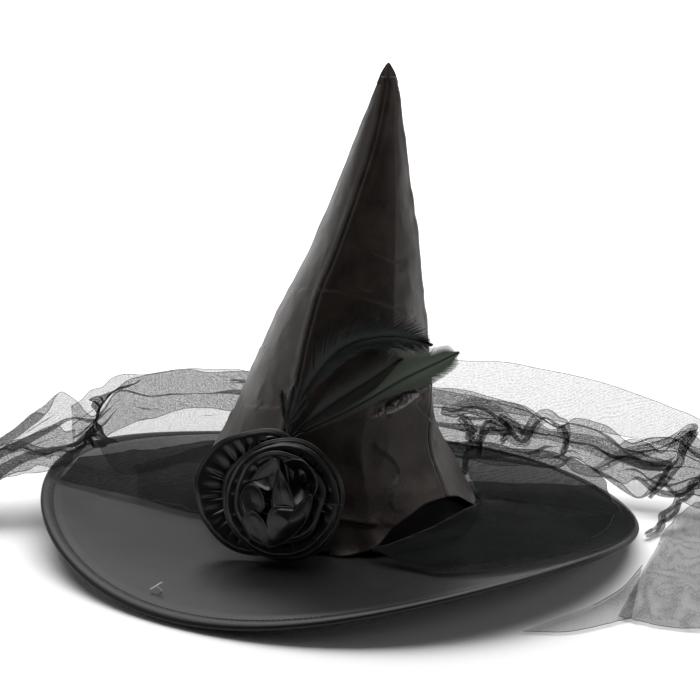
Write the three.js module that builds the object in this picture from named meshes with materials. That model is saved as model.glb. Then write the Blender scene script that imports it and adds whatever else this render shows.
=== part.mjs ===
// Witch hat: a wide wired brim, a tall soft crown of four satin gores, a gathered net veil, and a
// ribbon rosette with a spray of cock feathers at the foot of the crown.
// Millimetres, +Z up. The origin is on the table under the centre of the head opening, and the
// rosette is at the front, towards -Y.
import * as THREE from "three";

const DEGREE = Math.PI / 180;
const GAP = 0.3; // clearance between pieces that touch

// Brim
const BRIM_RADIUS = 200;
const OPENING_RADIUS = 91.5; // inner edge of the brim's layers
const OPENING_Z = 14.5; // middle of the brim's thickness at the head opening
const CORE_THICKNESS = 2;
const CLOTH_THICKNESS = 0.7;
const WIRE_RADIUS = 1.1;
const RIM_HALF = 3; // half the bound rim's thickness
const BINDING_WIDTH = 10;
const BRIM_SEGMENTS = 40;

// The wired rim rests as a shallow saddle with a slight third wave and a tilt.
const SADDLE = { height: 11.5, at: -30 * DEGREE };
const WAVE = { height: 6.5, at: 57 * DEGREE };
const TILT = { right: 3, back: 5.5 };

// Crown: [height, centre x, outer radius] from the foot to the tip, straight between these
const CROWN_STATIONS = [
  [16.8, -1, 92.5],
  [30, -4.7, 89.1],
  [50, -5.9, 80.6],
  [70, -6.6, 70.5],
  [110, -1, 59.8],
  [150, 5.8, 49.3],
  [190, 12.4, 36.5],
  [230, 17.5, 26.1],
  [270, 21.6, 16.2],
  [304, 24.9, 6.6],
  [316.5, 25.2, 2.2],
];
const CROWN_SEGMENTS = 32;
const FIRST_SEAMS = { front: -112.5, right: -22.5, back: 67.5, left: 157.5 }; // degrees
const GORE_THICKNESS = 0.9;
const LINING_THICKNESS = 1.6;
const BEND_Z = 155; // the peak flops here
const BEND_GAP = 1.5; // half the slit between the two halves of the crown
const PEAK_INSET = 1.6; // the peak tucks inside the lower crown as it leans
const PEAK_CAP = { foot: 304.3, inset: 1.9, tipRadius: 0.6, back: 0.4 };
const LINING_SPANS = { lower: [17.2, 128], upper: [178, 288] };
const SWEATBAND = { thickness: 1.2, span: [12.5, 42] };

// Rosette, on a disc that stands off the crown and faces forwards and a little up
const ROSETTE_BASE = new THREE.Vector3(-33, -84.5, 54.5);
const ROSETTE_FACING = new THREE.Vector3(-0.16, -0.94, 0.29).normalize();
const BACKING = { radius: 22, thickness: 2 };
const RIBBON_THICKNESS = 1.1;
const FANS = {
  ribbon_loop_top: { angles: [62, 118], radii: [24, 38.5], foot: 5.7, folds: 2 },
  ribbon_fan_left: { angles: [124, 207], radii: [20, 58], foot: 5.2, folds: 6 },
};
const FAN_FLUTE = 0.9; // height of the fans' pleats
const RUFFLE_SWAY = 0.05; // share of the radius by which a ruffle's folds lean sideways
const OUTER_RUFFLE = { radius: 37, foot: 8.2, rise: 8, wave: 3, folds: 9 };
const MIDDLE_RUFFLE = { radius: 28, foot: 11, rise: 12, wave: 2.4, folds: 8 };
const STEM_RADIUS = 2.6;
const PETAL = { count: 6, from: 9, to: 23, half: 5, foot: 18, rise: 8 };
const BUD = { radius: 7.2, foot: 15, height: 14 };

// Feather spray, held in a wrapped sleeve above the backing disc
const SLEEVE = { radius: 2.6, length: 13.2 };
const FEATHER_FACING = new THREE.Vector3(0, -1, 0);
const VANE_THICKNESS = 0.8;
const QUILL_RADIUS = 0.5;
const HACKLE = {
  count: 3,
  width: 5,
  taper: 0.85,
  foot: new THREE.Vector3(-35, -78.5, 99),
  step: new THREE.Vector3(0, -1.8, 0),
  reach: new THREE.Vector3(3, 0, 24),
  spread: new THREE.Vector3(7, 0, -3),
};

// Net veil
const NET_THICKNESS = 1.2;
const NET_CLEARANCE = 2.5;
const BAND = { thickness: 2.6, span: [17.2, 36] };
const KNOT = { angles: [-128, -100], heights: [40, 60], size: 12 };
const PANEL_START = 104; // radius where the panels leave the band
const FALL = { start: BRIM_RADIUS + 12, length: 30 };
const TABLE_CLEARANCE = 0.5;

// Tag fastener, stuck in the brim
const TAG = { radius: 0.7, length: 9, at: 177, angle: 232 * DEGREE };

const lerp = THREE.MathUtils.lerp;
const polar = (angle, radius, z) => [radius * Math.cos(angle), radius * Math.sin(angle), z];
const steps = (count) => Array.from({ length: count + 1 }, (_, i) => i / count);

const material = (color, roughness, metalness = 0) =>
  new THREE.MeshStandardMaterial({ color, roughness, metalness });
const brimSatin = material(0x2b292b, 0.55);
const crownSatin = material(0x38332f, 0.5);
const ribbonSatin = material(0x121214, 0.3);
const net = material(0x1a1d1e, 0.8);
const board = material(0x1d1c1c, 0.9);
const stiffener = material(0x232020, 0.9);
const steel = material(0x8d9196, 0.35, 1);
const felt = material(0x141414, 0.95);
const nylon = material(0xe4e4e0, 0.4);
const featherDark = material(0x16251f, 0.45);
const featherOlive = material(0x2c3320, 0.45);
const featherSilver = material(0x59634a, 0.4);

// Feathers, each along a curve from its quill's foot to its tip
const FEATHERS = {
  dark: {
    points: [[-33, -70.4, 91.5], [-19, -70, 125.5], [1, -69, 146.5], [29, -66, 153.5], [56, -62, 145.5]],
    width: 15,
    finish: featherDark,
  },
  olive: {
    points: [[-31, -73.5, 91.5], [-2, -73.5, 115.5], [18, -72.5, 129.5], [38, -71, 141.5]],
    width: 12,
    finish: featherOlive,
  },
  silver: {
    points: [[-29, -76.4, 92], [11, -77.5, 115.5], [42, -76.5, 133.5], [73, -74, 145.5]],
    width: 19,
    finish: featherSilver,
  },
};

const hat = new THREE.Group();

function add(name, geometry, finish, parent = hat) {
  const mesh = new THREE.Mesh(geometry, finish);
  mesh.name = name;
  parent.add(mesh);
  return mesh;
}

// A closed box of cells [u, v, w] whose points, from 0 to 1 each way, are carried to shape(u, v, w).
function bentBox(cells, shape) {
  const geometry = new THREE.BoxGeometry(1, 1, 1, ...cells);
  const position = geometry.attributes.position;
  for (let i = 0; i < position.count; i++) {
    const [u, v, w] = [position.getX(i), position.getY(i), position.getZ(i)];
    position.setXYZ(i, ...shape(u + 0.5, v + 0.5, w + 0.5));
  }
  return geometry;
}

// A closed ring: a loop of [across, height] points, turned round Z and carried to
// warp(angle, across, height). Each cell is split from its inner or lower corner, so the faces of
// neighbouring layers stay parallel.
function ring(loop, segments, warp) {
  const size = loop.length;
  const positions = [];
  const index = [];
  const at = (i, j) => (i % segments) * size + (j % size);
  for (let i = 0; i < segments; i++) {
    for (let j = 0; j < size; j++) {
      const [[across, height], [nextAcross, nextHeight]] = [loop[j], loop[(j + 1) % size]];
      const rising = nextAcross > across || (nextAcross === across && nextHeight > height);
      const [a, b, c, d] = [at(i, j), at(i + 1, j), at(i + 1, j + 1), at(i, j + 1)];
      positions.push(...warp((i / segments) * 2 * Math.PI, across, height));
      index.push(...(rising ? [a, b, c, a, c, d] : [a, b, d, b, c, d]));
    }
  }
  const geometry = new THREE.BufferGeometry();
  geometry.setAttribute("position", new THREE.Float32BufferAttribute(positions, 3));
  return geometry.setIndex(index);
}

// ---- Brim

function rimWarp(angle) {
  const saddle = SADDLE.height * Math.cos(2 * (angle - SADDLE.at));
  const wave = WAVE.height * Math.cos(3 * (angle - WAVE.at));
  return saddle + wave - TILT.right * Math.cos(angle) - TILT.back * Math.sin(angle);
}

// The rim's mean height puts its lowest point on the table.
const RIM_Z = RIM_HALF - Math.min(...steps(360).map((t) => rimWarp(t * 2 * Math.PI)));

// Height of the middle of the brim's thickness.
function brimZ(radius, angle) {
  const t = (radius - OPENING_RADIUS) / (BRIM_RADIUS - OPENING_RADIUS);
  return lerp(OPENING_Z, RIM_Z, t) + rimWarp(angle) * t * Math.abs(t);
}

const onBrim = (angle, radius, height) => polar(angle, radius, height + brimZ(radius, angle));

function addBrim() {
  const wireAt = BRIM_RADIUS - RIM_HALF;
  const bindingStart = BRIM_RADIUS - BINDING_WIDTH;
  const across = [OPENING_RADIUS, 122, 156, bindingStart, wireAt - RIM_HALF];
  const layer = (low, high) => [
    ...across.map((radius) => [radius, low]),
    ...across.toReversed().map((radius) => [radius, high]),
  ];
  const coreHalf = CORE_THICKNESS / 2;
  const clothLow = coreHalf + GAP;
  const clothHigh = clothLow + CLOTH_THICKNESS;
  add("brim_core", ring(layer(-coreHalf, coreHalf), BRIM_SEGMENTS, onBrim), board);
  add("brim_top_cloth", ring(layer(clothLow, clothHigh), BRIM_SEGMENTS, onBrim), brimSatin);
  add("brim_under_cloth", ring(layer(-clothHigh, -clothLow), BRIM_SEGMENTS, onBrim), brimSatin);

  const arc = (radius, from, to, count) =>
    steps(count).map((t) => {
      const angle = lerp(from, to, t);
      return [wireAt + radius * Math.cos(angle), radius * Math.sin(angle)];
    });
  const wire = arc(WIRE_RADIUS, 0, 2 * Math.PI, 5).slice(0, -1);
  add("rim_wire", ring(wire, BRIM_SEGMENTS, onBrim), steel);

  const inner = RIM_HALF - CLOTH_THICKNESS;
  const binding = [
    [bindingStart, -RIM_HALF],
    ...arc(RIM_HALF, -Math.PI / 2, Math.PI / 2, 3),
    [bindingStart, RIM_HALF],
    [bindingStart, inner],
    ...arc(inner, Math.PI / 2, -Math.PI / 2, 3),
    [bindingStart, -inner],
  ];
  add("rim_binding", ring(binding, BRIM_SEGMENTS, onBrim), brimSatin);
}

// ---- Crown

// Centre and outer radius of the crown at a height; below its foot it goes straight down.
function crownAt(z) {
  const above = Math.max(1, CROWN_STATIONS.findIndex(([height]) => height >= z));
  const [low, high] = [CROWN_STATIONS[above - 1], CROWN_STATIONS[above]];
  const t = Math.max(0, (z - low[0]) / (high[0] - low[0]));
  return { x: lerp(low[1], high[1], t), radius: lerp(low[2], high[2], t) };
}

// A point of the crown at an angle and a height, some way in from its outer surface.
function onCrown(angle, depth, z) {
  const { x, radius } = crownAt(z);
  return [x + (radius - depth) * Math.cos(angle), (radius - depth) * Math.sin(angle), z];
}

// The heights between low and high at which the crown's slope changes, with both ends.
const crownHeights = (low, high) => [
  low,
  ...CROWN_STATIONS.map(([z]) => z).filter((z) => z > low + GAP && z < high - GAP),
  high,
];

function goreGeometry(firstSeam, low, high, inset) {
  const heights = crownHeights(low, high);
  const rows = heights.length - 1;
  return bentBox([CROWN_SEGMENTS / 4, rows, 1], (u, v, w) => {
    const z = heights[Math.round(v * rows)];
    const seamGap = GAP / 2 / crownAt(z).radius;
    const [from, to] = [firstSeam * DEGREE + seamGap, (firstSeam + 90) * DEGREE - seamGap];
    return onCrown(lerp(from, to, u), inset + (1 - w) * GORE_THICKNESS, z);
  });
}

// A ring that follows the crown between two depths.
function shellGeometry([low, high], outer, thickness) {
  const heights = crownHeights(low, high);
  const offset = 10; // keeps the loop, counted outwards from here, clear of the axis
  const loop = [
    ...heights.map((z) => [offset + thickness, z]),
    ...heights.toReversed().map((z) => [offset, z]),
  ];
  return ring(loop, CROWN_SEGMENTS, (angle, across, z) =>
    onCrown(angle, outer + thickness + offset - across, z),
  );
}

function addCrown() {
  const foot = CROWN_STATIONS[0][0];
  const tip = CROWN_STATIONS.at(-1)[0];
  for (const [side, seam] of Object.entries(FIRST_SEAMS)) {
    const lower = goreGeometry(seam, foot, BEND_Z - BEND_GAP, 0);
    add(`gore_${side}_lower`, lower, crownSatin);
    const upper = goreGeometry(seam, BEND_Z + BEND_GAP, PEAK_CAP.foot - GAP, PEAK_INSET);
    add(`gore_${side}_upper`, upper, crownSatin);
  }
  const liningDepth = GORE_THICKNESS + GAP;
  const lower = shellGeometry(LINING_SPANS.lower, liningDepth, LINING_THICKNESS);
  const upper = shellGeometry(LINING_SPANS.upper, liningDepth + PEAK_INSET, LINING_THICKNESS);
  add("crown_stiffener_lower", lower, stiffener);
  add("crown_stiffener_upper", upper, stiffener);
  const bandDepth = liningDepth + LINING_THICKNESS + GAP;
  add("sweatband", shellGeometry(SWEATBAND.span, bandDepth, SWEATBAND.thickness), ribbonSatin);

  const capRadius = crownAt(PEAK_CAP.foot).radius - PEAK_CAP.inset;
  const capHeight = tip - PEAK_CAP.foot;
  const cap = new THREE.CylinderGeometry(PEAK_CAP.tipRadius, capRadius, capHeight, 8).rotateX(Math.PI / 2);
  cap.translate(crownAt(tip).x - PEAK_CAP.back, 0, PEAK_CAP.foot + capHeight / 2);
  add("peak_tip", cap, crownSatin);
}

// ---- Net veil

function addPanel(name, [from, to], reach, puff) {
  const panel = bentBox([10, 12, 1], (u, v, w) => {
    const angle = lerp(to, from, u) * DEGREE;
    const radius = lerp(PANEL_START, reach(u), v);
    const onTop = brimZ(Math.min(radius, BRIM_RADIUS), angle) + RIM_HALF + NET_CLEARANCE;
    const fall = THREE.MathUtils.smoothstep(radius, FALL.start, FALL.start + FALL.length);
    const lift = puff * Math.sin(Math.PI * u) * Math.sin(Math.PI * v);
    return polar(angle, radius, lerp(onTop, TABLE_CLEARANCE, fall) + lift + w * NET_THICKNESS);
  });
  add(name, panel, net);
}

function addVeil() {
  const band = shellGeometry(BAND.span, -GAP - BAND.thickness, BAND.thickness);
  add("veil_band", band, net);
  addPanel("veil_left", [150, 200], () => 262, 0);
  addPanel("veil_back", [37, 147], () => 192, 42);
  addPanel("veil_right", [-44, 34], (u) => 300 - 60 * u ** 2, 0);
}

// ---- Rosette

function rosetteGroup() {
  const up = new THREE.Vector3(0, 0, 1);
  const right = up.clone().cross(ROSETTE_FACING).normalize();
  up.crossVectors(ROSETTE_FACING, right);
  const group = new THREE.Group();
  group.position.copy(ROSETTE_BASE);
  group.quaternion.setFromRotationMatrix(new THREE.Matrix4().makeBasis(right, up, ROSETTE_FACING));
  hat.add(group);
  return group;
}

// A gathered ribbon ring, fluted towards its free edge.
function ruffleGeometry({ radius, foot, rise, wave, folds }) {
  const inner = STEM_RADIUS + 2 * GAP;
  const stations = steps(3).map((t) => lerp(inner, radius, t));
  const loop = [
    ...stations.map((r) => [r, foot]),
    ...stations.toReversed().map((r) => [r, foot + RIBBON_THICKNESS]),
  ];
  return ring(loop, folds * 6, (angle, r, height) => {
    const t = (r - inner) / (radius - inner);
    const sway = 1 - RUFFLE_SWAY * t * Math.sin(folds * angle);
    return polar(angle, r * sway, height + t * (rise + wave * Math.cos(folds * angle)));
  });
}

// A fan of gathered ribbon behind the ruffles, between two angles and two radii.
function fanGeometry({ angles: [from, to], radii: [inner, outer], foot, folds }) {
  return bentBox([folds * 4, 2, 1], (u, v, w) => {
    const flute = FAN_FLUTE * v * Math.cos(u * folds * 2 * Math.PI);
    const height = foot + flute + w * RIBBON_THICKNESS;
    return polar(lerp(to, from, u) * DEGREE, lerp(inner, outer, v), height);
  });
}

// One pointed petal of folded ribbon, leaning out from the bud.
function petalGeometry(turn) {
  const { from, to, half, foot, rise } = PETAL;
  return bentBox([2, 3, 1], (u, v, w) => {
    const out = lerp(from, to, v);
    const side = (2 * u - 1) * half * Math.cos(v * 0.45 * Math.PI);
    const height = foot + rise * v + w * RIBBON_THICKNESS;
    const [cos, sin] = [Math.cos(turn), Math.sin(turn)];
    return [out * cos + side * sin, out * sin - side * cos, height];
  });
}

// The rolled ribbon at the rosette's middle, with its spiral edge showing as three lobes.
function budGeometry() {
  const { radius, foot, height } = BUD;
  const profile = steps(6).map((t) => [radius * Math.sin(Math.PI * (0.2 + 0.7 * t)), foot + height * t]);
  const points = [[0, foot], ...profile, [0, foot + height]].map(([r, z]) => new THREE.Vector2(r, z));
  const geometry = new THREE.LatheGeometry(points, 18).rotateX(Math.PI / 2);
  const position = geometry.attributes.position;
  for (let i = 0; i < position.count; i++) {
    const [x, y, z] = [position.getX(i), position.getY(i), position.getZ(i)];
    const lobe = 1 + 0.1 * Math.cos(3 * Math.atan2(y, x) + z / 3);
    position.setXYZ(i, x * lobe, y * lobe, z);
  }
  return geometry;
}

// A cylinder from one height to another, along the group's own Z.
function post(radius, from, to, sides) {
  const geometry = new THREE.CylinderGeometry(radius, radius, to - from, sides).rotateX(Math.PI / 2);
  return geometry.translate(0, 0, (from + to) / 2);
}

function addRosette() {
  const rosette = rosetteGroup();
  add("rosette_backing", post(BACKING.radius, 0, BACKING.thickness, 24), felt, rosette);
  add("rosette_stem", post(STEM_RADIUS, BACKING.thickness + GAP, BUD.foot - GAP, 8), felt, rosette);
  for (const [name, fan] of Object.entries(FANS)) {
    add(name, fanGeometry(fan), ribbonSatin, rosette);
  }
  add("ruffle_outer", ruffleGeometry(OUTER_RUFFLE), ribbonSatin, rosette);
  add("ruffle_middle", ruffleGeometry(MIDDLE_RUFFLE), ribbonSatin, rosette);
  for (let i = 0; i < PETAL.count; i++) {
    const turn = (0.25 + i / PETAL.count) * 2 * Math.PI;
    add(`petal_${i + 1}`, petalGeometry(turn), ribbonSatin, rosette);
  }
  add("rosette_bud", budGeometry(), ribbonSatin, rosette);

  const sleeve = new THREE.CylinderGeometry(SLEEVE.radius, SLEEVE.radius, SLEEVE.length, 8);
  const sleeveMiddle = BACKING.radius + GAP + SLEEVE.length / 2;
  add("feather_sleeve", sleeve.translate(0, sleeveMiddle, BACKING.thickness / 2), felt, rosette);
  addKnot();
}

// The knotted net between the crown and the rosette's backing disc, flat where the disc sits on it.
function addKnot() {
  const { angles, heights, size } = KNOT;
  const disc = rosetteGroup();
  disc.updateMatrixWorld(true);
  const knot = bentBox([4, 3, 1], (u, v, w) => {
    const angle = lerp(...angles, u) * DEGREE;
    const onSurface = onCrown(angle, -BAND.thickness - 2 * GAP, lerp(...heights, v));
    const onDisc = new THREE.Vector3((2 * u - 1) * size, (2 * v - 1) * size, -GAP);
    disc.localToWorld(onDisc);
    return onDisc.lerp(new THREE.Vector3(...onSurface), 1 - w).toArray();
  });
  hat.remove(disc);
  add("veil_knot", knot, net);
}

// ---- Feathers

// A blade along a curve: width(t) across it, in the plane that faces the viewer.
function bladeGeometry(curve, width, thickness, count) {
  return bentBox([2, count, 1], (u, v, w) => {
    const side = curve.getTangent(v).cross(FEATHER_FACING).normalize();
    const point = curve.getPoint(v).addScaledVector(side, (u - 0.5) * width(v));
    return point.addScaledVector(FEATHER_FACING, (w - 0.5) * thickness).toArray();
  });
}

function quillGeometry(curve) {
  const sides = new THREE.Shape().absarc(0, 0, QUILL_RADIUS, 0, 2 * Math.PI);
  const lift = VANE_THICKNESS / 2 + GAP + QUILL_RADIUS;
  const raised = curve.points.map((point) => point.clone().addScaledVector(FEATHER_FACING, lift));
  const extrudePath = new THREE.CatmullRomCurve3(raised.slice(0, -1));
  return new THREE.ExtrudeGeometry(sides, { steps: 10, curveSegments: 5, extrudePath, bevelEnabled: false });
}

function addFeathers() {
  for (const [name, { points, width, finish }] of Object.entries(FEATHERS)) {
    const curve = new THREE.CatmullRomCurve3(points.map((point) => new THREE.Vector3(...point)));
    const vaneWidth = (t) => 1 + (width - 1) * Math.sin(Math.PI * Math.min(0.98, 0.08 + 0.9 * t)) ** 0.8;
    add(`feather_${name}_vane`, bladeGeometry(curve, vaneWidth, VANE_THICKNESS, 10), finish);
    add(`feather_${name}_quill`, quillGeometry(curve), finish);
  }
  for (let i = 0; i < HACKLE.count; i++) {
    const foot = HACKLE.foot.clone().addScaledVector(HACKLE.step, i);
    const tip = foot.clone().add(HACKLE.reach).addScaledVector(HACKLE.spread, i - 1);
    const curve = new THREE.CatmullRomCurve3([foot, foot.clone().lerp(tip, 0.5), tip]);
    const width = (t) => HACKLE.width * (1 - HACKLE.taper * t);
    add(`hackle_${i + 1}`, bladeGeometry(curve, width, VANE_THICKNESS * 0.8, 4), featherDark);
  }
}

// ---- Tag fastener

function addTag() {
  const { radius, length, at, angle } = TAG;
  const bar = new THREE.CylinderGeometry(radius, radius, length, 8).rotateZ(Math.PI / 2);
  const [x, y, z] = onBrim(angle, at, RIM_HALF + radius);
  add("tag_fastener", bar.translate(x, y, z), nylon);
}

addBrim();
addCrown();
addVeil();
addRosette();
addFeathers();
addTag();

export default hat;
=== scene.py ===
"""The looks of a witch hat: satin crown and brim, gathered net veil, ribbon rosette and cock feathers."""

import math
from itertools import product

import bpy
import numpy as np
from mathutils import Matrix, Vector


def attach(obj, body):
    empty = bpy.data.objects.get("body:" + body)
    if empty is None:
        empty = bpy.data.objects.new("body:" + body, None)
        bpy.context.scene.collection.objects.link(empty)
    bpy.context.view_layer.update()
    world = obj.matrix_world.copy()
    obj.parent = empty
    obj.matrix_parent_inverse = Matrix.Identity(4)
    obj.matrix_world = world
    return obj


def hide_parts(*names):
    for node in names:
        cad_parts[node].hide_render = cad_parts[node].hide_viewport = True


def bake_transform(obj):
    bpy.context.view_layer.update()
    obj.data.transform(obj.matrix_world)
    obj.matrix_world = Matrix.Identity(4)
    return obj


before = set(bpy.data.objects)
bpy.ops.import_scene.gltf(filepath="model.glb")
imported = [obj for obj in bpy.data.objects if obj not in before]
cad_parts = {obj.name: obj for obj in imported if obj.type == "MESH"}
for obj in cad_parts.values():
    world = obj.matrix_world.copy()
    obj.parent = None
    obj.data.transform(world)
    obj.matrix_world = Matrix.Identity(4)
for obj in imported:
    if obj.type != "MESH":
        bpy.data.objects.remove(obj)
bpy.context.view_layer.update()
MM = 0.001
rng = np.random.default_rng(11)

# ---- Dimensions, in millimetres, as in the part's source
BRIM_RADIUS = 200
OPENING_RADIUS = 91.5
OPENING_Z = 14.5
RIM_HALF = 3
CLOTH_TOP = 2.0  # the brim's cloth face above the middle of its thickness
STITCH_RADIUS = 191.6
STITCH_PITCH = 3.2
SADDLE = (11.5, math.radians(-30))
WAVE = (6.5, math.radians(57))
TILT = (3, 5.5)
CROWN_STATIONS = np.array(
    [
        (16.8, -1, 92.5),
        (30, -4.7, 89.1),
        (50, -5.9, 80.6),
        (70, -6.6, 70.5),
        (110, -1, 59.8),
        (150, 5.8, 49.3),
        (190, 12.4, 36.5),
        (230, 17.5, 26.1),
        (270, 21.6, 16.2),
        (304, 24.9, 6.6),
        (316.5, 25.2, 2.2),
    ]
)
GORE_TOP = 308
TIP_Z = 316.5
# The seam that starts each gore and the softer folds between, as degrees round the crown and their
# share of the crown's radius, at heights going up
RIDGES = {
    "front": ([30, 118, 149, 178, 202, 238, 271, 303], [-117, -118, -122, -125, -121, -114, -103, -99],
              [1.0, 1.08, 1.09, 1.09, 1.09, 1.09, 1.08, 1.05]),
    "fold_front": ([90, 150], [-74, -58], [1.0, 0.99]),
    "right": ([46, 87, 105, 125, 180, 240, 304], [-38, -27, -14, 2, -3, 4, 0],
              [1.04, 1.04, 1.02, 1.0, 1.0, 1.0, 1.0]),
    "fold_right": ([50, 100, 130], [6, 14, 30], [1.03, 1.0, 0.97]),
    "back": ([20, 300], [70, 70], [1.03, 1.03]),
    "left": ([20, 300], [157, 157], [1.08, 1.08]),
}
GORES = {"front": "right", "right": "back", "back": "left", "left": "front"}  # from one seam to the next
ROSETTE_BASE = Vector((-33.4, -84.5, 51))
ROSETTE_FACING = Vector((-0.16, -0.94, 0.29)).normalized()


# ---- Shapes
LATTICE = rng.uniform(-1, 1, (32, 32, 32))


def noise(points, size):
    """Smooth noise from -1 to 1 over points, with bumps about size across."""
    q = np.asarray(points, float) / size
    cell = np.floor(q).astype(int)
    f = q - cell
    f = f * f * (3 - 2 * f)
    value = np.zeros(q.shape[:-1])
    for corner in product((0, 1), repeat=3):
        weight = np.prod(np.where(corner, f, 1 - f), axis=-1)
        i, j, k = np.moveaxis((cell + corner) % 32, -1, 0)
        value += weight * LATTICE[i, j, k]
    return value


def smoothstep(low, high, x):
    t = np.clip((x - low) / (high - low), 0, 1)
    return t * t * (3 - 2 * t)


def lerp(a, b, t):
    return a + (b - a) * t


def polar(angle, radius, z):
    return np.stack([radius * np.cos(angle), radius * np.sin(angle), z + 0 * angle * radius], axis=-1)


def grid(nu, nv):
    """Two arrays, nu by nv, that run from 0 to 1."""
    return np.meshgrid(np.linspace(0, 1, nu), np.linspace(0, 1, nv), indexing="ij")


def make_object(name, points, faces, material, smooth=True):
    mesh = bpy.data.meshes.new(name)
    mesh.from_pydata((np.asarray(points) * MM).tolist(), [], np.asarray(faces).tolist())
    mesh.polygons.foreach_set("use_smooth", [smooth] * len(mesh.polygons))
    mesh.materials.append(material)
    made = bpy.data.objects.new(name, mesh)
    bpy.context.scene.collection.objects.link(made)
    return made


def grid_faces(nu, nv, closed_u=False, closed_v=False, first=0):
    i, j = np.meshgrid(
        np.arange(nu if closed_u else nu - 1), np.arange(nv if closed_v else nv - 1), indexing="ij"
    )
    i, j = i.ravel(), j.ravel()
    after_i, after_j = (i + 1) % nu, (j + 1) % nv
    corners = (i * nv + j, after_i * nv + j, after_i * nv + after_j, i * nv + after_j)
    return np.stack(corners, axis=1) + first


def surface(name, points, material, thickness=0, closed_u=False, closed_v=False):
    """A grid of points, nu by nv by 3, as a smooth surface, thickened away from its outer face if asked."""
    nu, nv, _ = points.shape
    made = make_object(name, points.reshape(-1, 3), grid_faces(nu, nv, closed_u, closed_v), material)
    layer = made.data.uv_layers.new(name="along")
    u, v = grid(nu, nv)
    corners = np.array([loop.vertex_index for loop in made.data.loops])
    layer.data.foreach_set("uv", np.stack([u.ravel()[corners], v.ravel()[corners]], axis=1).ravel())
    if thickness:
        solidify = made.modifiers.new("cloth", "SOLIDIFY")
        solidify.thickness = thickness * MM
        solidify.offset = -1
    return made


def join_grids(name, grids, material, closed_u=False, closed_v=False):
    """Several equal grids of points as one piece."""
    faces = []
    count = 0
    for points in grids:
        nu, nv, _ = points.shape
        faces.append(grid_faces(nu, nv, closed_u, closed_v, count))
        count += nu * nv
    points = np.concatenate([points.reshape(-1, 3) for points in grids])
    return make_object(name, points, np.concatenate(faces), material)


def resample(control, count):
    """A smooth curve of count points through a list of control points."""
    control = np.asarray(control, float)
    padded = np.vstack([2 * control[0] - control[1], control, 2 * control[-1] - control[-2]])
    at = np.linspace(0, len(control) - 1, count)
    i = np.minimum(at.astype(int), len(control) - 2)
    t = (at - i)[:, None]
    a, b, c, d = (padded[i + k] for k in range(4))
    return 0.5 * (2 * b + (c - a) * t + (2 * a - 5 * b + 4 * c - d) * t**2 + (3 * b - a - 3 * c + d) * t**3)


def tube(line, radius, sides=8):
    """Rings of points round a line, as a grid for closed_v surfaces; radius may vary along it."""
    line = np.asarray(line, float)
    tangent = np.gradient(line, axis=0)
    tangent /= np.linalg.norm(tangent, axis=1)[:, None]
    reference = np.where(np.abs(tangent[:, 2:]) > 0.9, [[1.0, 0, 0]], [[0, 0, 1.0]])
    side = np.cross(tangent, reference)
    side /= np.linalg.norm(side, axis=1)[:, None]
    up = np.cross(side, tangent)
    turn = np.linspace(0, 2 * math.pi, sides, endpoint=False)
    radius = np.broadcast_to(np.asarray(radius, float), (len(line),))[:, None, None]
    ring = np.cos(turn)[None, :, None] * side[:, None] + np.sin(turn)[None, :, None] * up[:, None]
    return line[:, None] + radius * ring


# ---- Materials
def principled(name, color, roughness, **settings):
    """A Principled material; settings are the shader's own inputs by name, with _ for spaces."""
    material = bpy.data.materials.new(name)
    material.use_nodes = True
    shader = material.node_tree.nodes["Principled BSDF"]
    shader.inputs["Base Color"].default_value = (*color, 1)
    shader.inputs["Roughness"].default_value = roughness
    for key, value in settings.items():
        shader.inputs[key.replace("_", " ")].default_value = value
    return material, material.node_tree, shader


def add_node(tree, kind, **values):
    node = tree.nodes.new(kind)
    for key, value in values.items():
        if key in node.inputs:
            node.inputs[key].default_value = value
        else:
            setattr(node, key, value)
    return node


def add_bump(tree, shader, height, strength, distance):
    bump = add_node(tree, "ShaderNodeBump", Strength=strength, Distance=distance * MM)
    tree.links.new(height, bump.inputs["Height"])
    tree.links.new(bump.outputs["Normal"], shader.inputs["Normal"])


def satin(name, color, roughness, mottle, grain=0.5, gloss=0.5, tint=(1, 1, 1)):
    """Satin cloth: mottled colour, with a fine grain in the surface."""
    material, tree, shader = principled(name, color, roughness, Specular_IOR_Level=gloss)
    shader.inputs["Specular Tint"].default_value = (*tint, 1)
    place = add_node(tree, "ShaderNodeTexCoord")
    blotches = add_node(tree, "ShaderNodeTexNoise", Scale=55.0, Detail=6.0, Roughness=0.65)
    tree.links.new(place.outputs["Object"], blotches.inputs["Vector"])
    ramp = add_node(tree, "ShaderNodeValToRGB")
    ramp.color_ramp.elements[0].position = 0.3
    ramp.color_ramp.elements[0].color = (*(c * (1 - mottle) for c in color), 1)
    ramp.color_ramp.elements[1].position = 0.72
    ramp.color_ramp.elements[1].color = (*(c * (1 + mottle) for c in color), 1)
    tree.links.new(blotches.outputs["Fac"], ramp.inputs["Fac"])
    tree.links.new(ramp.outputs["Color"], shader.inputs["Base Color"])
    shine_range = add_node(tree, "ShaderNodeMapRange")
    shine_range.inputs["From Min"].default_value = 0.3
    shine_range.inputs["From Max"].default_value = 0.7
    shine_range.inputs["To Min"].default_value = roughness * (1 - mottle / 4)
    shine_range.inputs["To Max"].default_value = roughness * (1 + mottle / 4)
    tree.links.new(blotches.outputs["Fac"], shine_range.inputs["Value"])
    tree.links.new(shine_range.outputs["Result"], shader.inputs["Roughness"])
    weave = add_node(tree, "ShaderNodeTexNoise", Scale=900.0, Detail=3.0, Roughness=0.7)
    tree.links.new(place.outputs["Object"], weave.inputs["Vector"])
    add_bump(tree, shader, weave.outputs["Fac"], grain, 0.25)
    return material


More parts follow.
